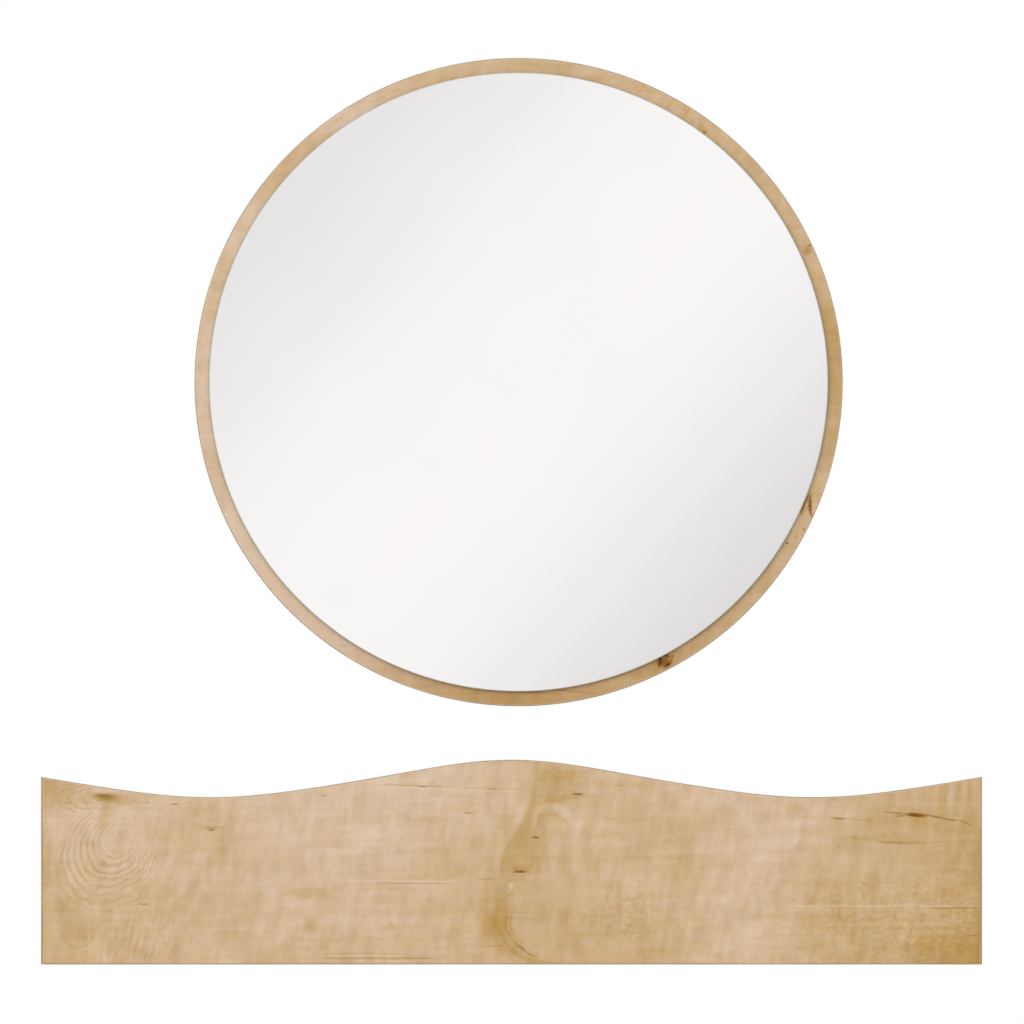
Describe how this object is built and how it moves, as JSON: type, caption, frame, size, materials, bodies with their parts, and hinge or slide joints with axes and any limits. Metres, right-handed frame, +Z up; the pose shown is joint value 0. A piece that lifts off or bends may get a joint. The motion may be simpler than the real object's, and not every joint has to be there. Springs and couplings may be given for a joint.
{
  "type": "mirror with shelf",
  "caption": "Round wall mirror on an oak-faced disc, above a wall-hung box shelf whose front board has a wavy top edge.",
  "frame": {"origin": "middle of the back face of the shelf's wall cleat, on the wall", "axes": "+X to the right, +Z up, +Y into the wall, so the mirror and the shelf's front face -Y"},
  "size_m": [0.9, 0.2, 0.867],
  "materials": {
    "oak_board": "light knotty oak decor, satin",
    "oak_edge_band": "oak-printed ABS edge band, satin",
    "plywood_cleat": "sanded birch plywood, bare",
    "mirror_glass": "clear silvered float glass, ground edge",
    "foam_tape": "white closed-cell foam tape",
    "aluminium_bar": "extruded, mill finish",
    "zinc_cam": "die-cast zinc, tumbled",
    "steel_fastener": "bright zinc-plated steel",
    "beech_dowel": "fluted beech, bare",
    "rubber_bumper": "moulded black rubber"
  },
  "bodies": {
    "root": {"shelf_front_panel": "oak_board", "shelf_top_board": "oak_board", "shelf_bottom_board": "oak_board", "shelf_left_end": "oak_board", "shelf_right_end": "oak_board", "shelf_middle_rib": "oak_board", "mirror_disc": "oak_board", "front_band_wavy_edge": "oak_edge_band", "front_band_bottom_edge": "oak_edge_band", "front_band_left_end": "oak_edge_band", "front_band_right_end": "oak_edge_band", "top_board_band_left": "oak_edge_band", "top_board_band_right": "oak_edge_band", "bottom_board_band_left": "oak_edge_band", "bottom_board_band_right": "oak_edge_band", "mirror_disc_band": "oak_edge_band", "shelf_wall_cleat": "plywood_cleat", "shelf_box_cleat": "plywood_cleat", "mirror_glass": "mirror_glass", "mirror_tape_left": "foam_tape", "mirror_tape_middle": "foam_tape", "mirror_tape_right": "foam_tape", "mirror_wall_bar": "aluminium_bar", "mirror_disc_bar": "aluminium_bar", "front_top_left_cam": "zinc_cam", "front_top_right_cam": "zinc_cam", "front_bottom_left_cam": "zinc_cam", "front_bottom_right_cam": "zinc_cam", "left_end_top_cam": "zinc_cam", "left_end_bottom_cam": "zinc_cam", "right_end_top_cam": "zinc_cam", "right_end_bottom_cam": "zinc_cam", "front_top_left_bolt": "steel_fastener", "front_top_right_bolt": "steel_fastener", "front_bottom_left_bolt": "steel_fastener", "front_bottom_right_bolt": "steel_fastener", "left_end_top_bolt": "steel_fastener", "left_end_bottom_bolt": "steel_fastener", "right_end_top_bolt": "steel_fastener", "right_end_bottom_bolt": "steel_fastener", "mirror_bar_screw_left": "steel_fastener", "mirror_bar_screw_middle": "steel_fastener", "mirror_bar_screw_right": "steel_fastener", "front_top_left_dowel": "beech_dowel", "front_top_right_dowel": "beech_dowel", "front_bottom_left_dowel": "beech_dowel", "front_bottom_right_dowel": "beech_dowel", "left_end_top_dowel": "beech_dowel", "left_end_bottom_dowel": "beech_dowel", "right_end_top_dowel": "beech_dowel", "right_end_bottom_dowel": "beech_dowel", "left_cleat_dowel": "beech_dowel", "right_cleat_dowel": "beech_dowel", "rib_top_dowel": "beech_dowel", "rib_bottom_dowel": "beech_dowel", "mirror_bumper_left": "rubber_bumper", "mirror_bumper_right": "rubber_bumper"}
  },
  "joints": []
}
